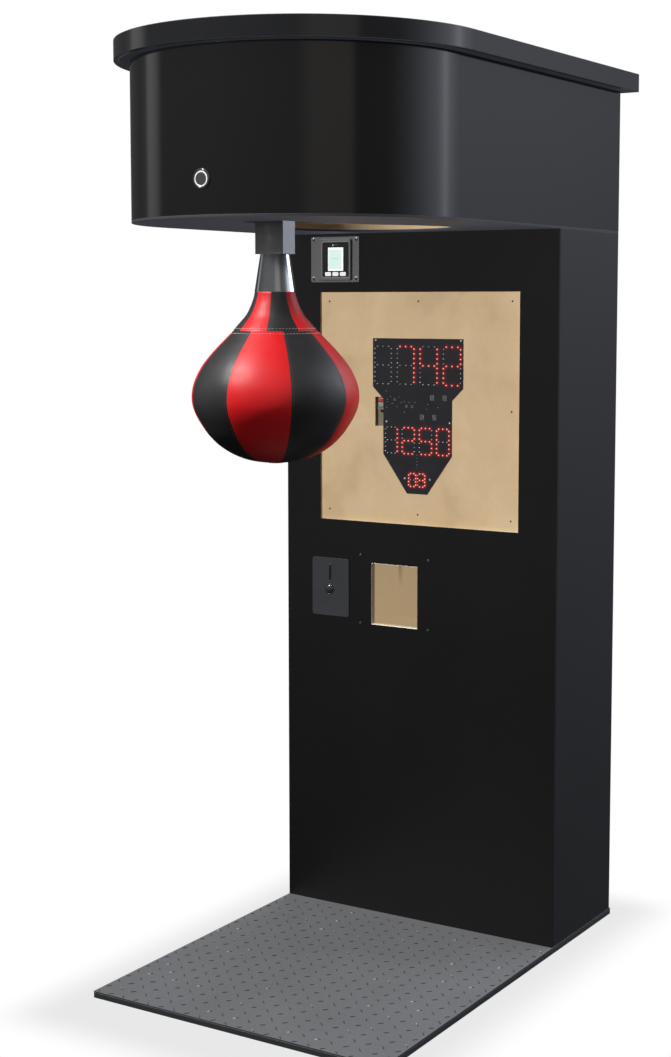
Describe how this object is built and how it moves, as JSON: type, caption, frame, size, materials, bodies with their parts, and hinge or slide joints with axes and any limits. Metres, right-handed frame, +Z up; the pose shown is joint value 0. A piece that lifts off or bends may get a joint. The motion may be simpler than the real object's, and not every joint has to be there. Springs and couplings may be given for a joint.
{
  "type": "boxing arcade machine",
  "caption": "Punch-bag arcade machine: slim cabinet on a tread-plate base, round-fronted head with a bag on a swinging arm, lamp score display, coin entry, card reader and start button.",
  "frame": {"origin": "on the floor, under the middle of the plan outline (the top cap's outline sets it)", "axes": "+Z up, +Y from the player towards the back of the machine, +X to the player's right"},
  "size_m": [0.785, 1.2039, 2.006],
  "materials": {
    "base_black": "satin",
    "tread_steel": "satin",
    "cabinet_laminate": "satin",
    "head_laminate": "gloss",
    "head_underside": "satin",
    "cap_plastic": "gloss",
    "plywood": "matte",
    "frame_paint": "satin",
    "cast_housing": "satin",
    "bronze": "satin",
    "bright_steel": "satin",
    "arm_paint": "satin",
    "ferrule_chrome": "satin",
    "bag_vinyl": "gloss",
    "bag_foam": "matte",
    "black_plastic": "satin",
    "coil_paint": "satin",
    "bumper_rubber": "matte",
    "halo_plastic": "gloss",
    "button_grey": "satin",
    "hinge_steel": "satin",
    "lock_chrome": "polished",
    "reader_grey": "satin",
    "reader_glass": "gloss",
    "reader_screen": "satin",
    "pcb_black": "satin",
    "led_lit": "gloss",
    "led_unlit": "gloss",
    "chip_black": "satin",
    "spacer_brass": "satin",
    "coin_steel": "satin",
    "cash_steel": "satin",
    "pcb_green": "satin",
    "psu_case": "satin",
    "rocker_red": "gloss"
  },
  "bodies": {
    "cabinet": {"base_board": "base_black", "tread_plate": "tread_steel", "side_panel_left": "cabinet_laminate", "side_panel_right": "cabinet_laminate", "front_board": "plywood", "front_skin": "cabinet_laminate", "corner_battens": "plywood", "rear_panel_upper": "cabinet_laminate", "rear_rail_lower": "cabinet_laminate", "door_hinges_fixed": "hinge_steel", "head_bottom_skin": "head_underside", "head_bottom_board": "plywood", "head_shell": "head_laminate", "head_back_panel": "cabinet_laminate", "top_board": "plywood", "top_cap": "cap_plastic", "head_frame": "frame_paint", "bearing_blocks": "cast_housing", "pivot_bushes": "bronze", "speed_sensor": "black_plastic", "latch_solenoid": "coil_paint", "stop_bumpers": "bumper_rubber", "start_button_body": "black_plastic", "start_button_ring": "halo_plastic", "reader_bracket": "reader_grey", "reader_body": "reader_grey", "reader_glass": "reader_glass", "reader_screen": "reader_screen", "display_board": "pcb_black", "display_leds_lit": "led_lit", "display_leds_unlit": "led_unlit", "display_components": "chip_black", "display_spacers": "spacer_brass", "coin_plate": "coin_steel", "coin_validator": "black_plastic", "coin_chute": "bright_steel", "cash_box": "cash_steel", "prize_bay": "plywood", "control_board": "pcb_green", "power_supply": "psu_case", "power_inlet": "black_plastic", "panel_screws": "bright_steel"},
    "bag_arm": {"pivot_axle": "bright_steel", "axle_collars": "bright_steel", "arm_tube": "arm_paint", "catch_lug": "bright_steel", "bag_stem": "bright_steel", "bag_ferrule": "ferrule_chrome", "bag_core": "bag_foam", "bag_cover": "bag_vinyl", "speed_vane": "bright_steel"},
    "rear_door": {"rear_door": "cabinet_laminate", "door_hinges_moving": "hinge_steel", "door_lock_body": "lock_chrome"},
    "lock_cam": {"door_lock_cam": "bright_steel"},
    "latch_hook": {"latch_hook": "bright_steel"},
    "plunger": {"solenoid_plunger": "bright_steel"},
    "start_button": {"start_button_cap": "button_grey"},
    "coin_return": {"coin_return_button": "coin_steel"},
    "power_rocker": {"power_switch": "rocker_red"}
  },
  "joints": [
    {"name": "bag_swing", "type": "hinge", "parent": "cabinet", "child": "bag_arm", "pos_m": [0, -0.3245, 1.678], "axis": [1, 0, 0], "range_deg": [-25, 90]},
    {"name": "start_press", "type": "slide", "parent": "cabinet", "child": "start_button", "axis": [0, 1, 0], "range_m": [0, 0.003], "stiffness_N_per_m": 500, "springref_m": -0.002},
    {"name": "coin_return_press", "type": "slide", "parent": "cabinet", "child": "coin_return", "axis": [0, 1, 0], "range_m": [0, 0.006], "stiffness_N_per_m": 300, "springref_m": -0.003},
    {"name": "door_swing", "type": "hinge", "parent": "cabinet", "child": "rear_door", "pos_m": [-0.341, 0.574, 0.665], "axis": [0, 0, 1], "range_deg": [0, 110]},
    {"name": "lock_turn", "type": "hinge", "parent": "rear_door", "child": "lock_cam", "pos_m": [0.3, 0.5392, 0.665], "axis": [0, -1, 0], "range_deg": [0, 90]},
    {"name": "hook_swing", "type": "hinge", "parent": "cabinet", "child": "latch_hook", "pos_m": [0, -0.2485, 1.775], "axis": [1, 0, 0], "range_deg": [-18, 0], "stiffness_Nm_per_rad": 0.15, "springref_deg": 17.19},
    {"name": "plunger_slide", "type": "slide", "parent": "cabinet", "child": "plunger", "axis": [0, 1, 0], "range_m": [0, 0.011]},
    {"name": "power_rock", "type": "hinge", "parent": "cabinet", "child": "power_rocker", "pos_m": [0.25, 0.5685, 0.097], "axis": [1, 0, 0], "range_deg": [-16, 0]}
  ],
  "couplings": [
    {"joint": "plunger_slide", "follows": "hook_swing", "m_per_rad": -0.035}
  ]
}
